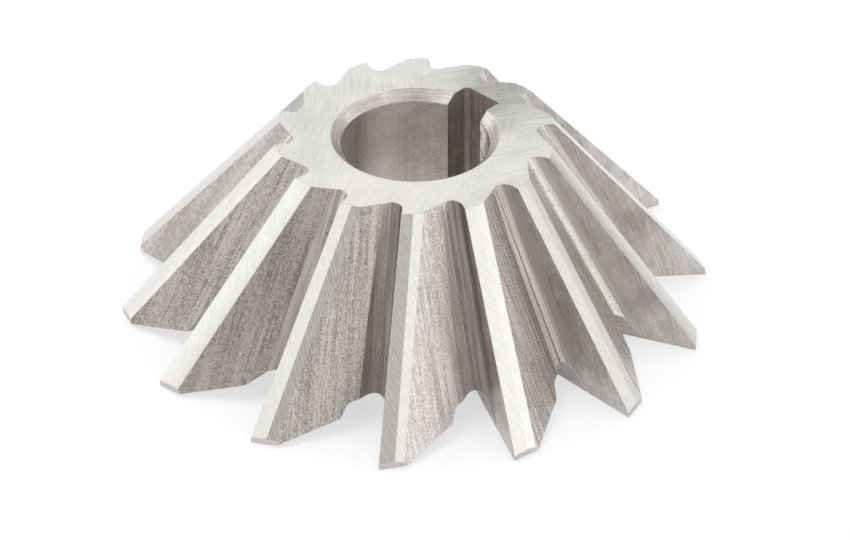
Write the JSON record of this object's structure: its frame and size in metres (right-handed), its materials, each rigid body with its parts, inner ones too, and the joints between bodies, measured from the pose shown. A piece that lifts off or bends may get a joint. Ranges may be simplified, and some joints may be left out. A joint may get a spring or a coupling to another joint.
{
  "type": "single angle milling cutter",
  "caption": "Steel cutter for an arbor, with straight teeth on a cone and on its large face, and a plain bore with a keyway.",
  "frame": {"origin": "on the bore's axis, in the plane of the side cutting edges on the large face", "axes": "+Z along the bore, from the large face to the small face; +Y from the axis to the middle of the keyway"},
  "size_m": [0.04, 0.0392, 0.013],
  "materials": {
    "cutter_steel": "hardened tool steel, ground on the faces, lands and bore, milled on the backs of the teeth"
  },
  "bodies": {
    "root": {"cutter_body": "cutter_steel"}
  },
  "joints": []
}
